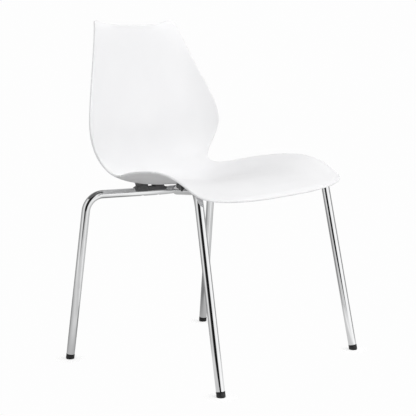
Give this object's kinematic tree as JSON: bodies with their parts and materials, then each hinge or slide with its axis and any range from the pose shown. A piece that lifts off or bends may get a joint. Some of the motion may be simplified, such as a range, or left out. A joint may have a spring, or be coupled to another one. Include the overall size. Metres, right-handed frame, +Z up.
{
  "type": "stacking chair",
  "caption": "Armless stacking side chair: one-piece moulded plastic seat and back on a bent chrome tube frame with push-in foot glides.",
  "frame": {"origin": "on the floor, under the middle of the chair's overall box", "axes": "+Z up, the sitter faces -Y, +X is the sitter's left hand"},
  "size_m": [0.5216, 0.4852, 0.7726],
  "materials": {
    "white_plastic": "satin moulded, through-coloured",
    "chrome_tube": "bright chrome plate",
    "dark_plastic": "fine moulded texture",
    "black_glide": "smooth moulded, scuffed at the sole",
    "zinc_steel": "zinc plated",
    "brass_insert": "turned"
  },
  "bodies": {
    "root": {"seat_shell": "white_plastic", "rear_arch": "chrome_tube", "front_arch": "chrome_tube", "saddle_rear_left": "dark_plastic", "saddle_rear_right": "dark_plastic", "saddle_front_left": "dark_plastic", "saddle_front_right": "dark_plastic", "glide_rear_left": "black_glide", "glide_rear_right": "black_glide", "glide_front_left": "black_glide", "glide_front_right": "black_glide", "screw_rear_left_inner": "zinc_steel", "washer_rear_left_inner": "zinc_steel", "insert_rear_left_inner": "brass_insert", "screw_rear_left_outer": "zinc_steel", "washer_rear_left_outer": "zinc_steel", "insert_rear_left_outer": "brass_insert", "screw_rear_right_inner": "zinc_steel", "washer_rear_right_inner": "zinc_steel", "insert_rear_right_inner": "brass_insert", "screw_rear_right_outer": "zinc_steel", "washer_rear_right_outer": "zinc_steel", "insert_rear_right_outer": "brass_insert", "screw_front_left_inner": "zinc_steel", "washer_front_left_inner": "zinc_steel", "insert_front_left_inner": "brass_insert", "screw_front_left_outer": "zinc_steel", "washer_front_left_outer": "zinc_steel", "insert_front_left_outer": "brass_insert", "screw_front_right_inner": "zinc_steel", "washer_front_right_inner": "zinc_steel", "insert_front_right_inner": "brass_insert", "screw_front_right_outer": "zinc_steel", "washer_front_right_outer": "zinc_steel", "insert_front_right_outer": "brass_insert"}
  },
  "joints": []
}
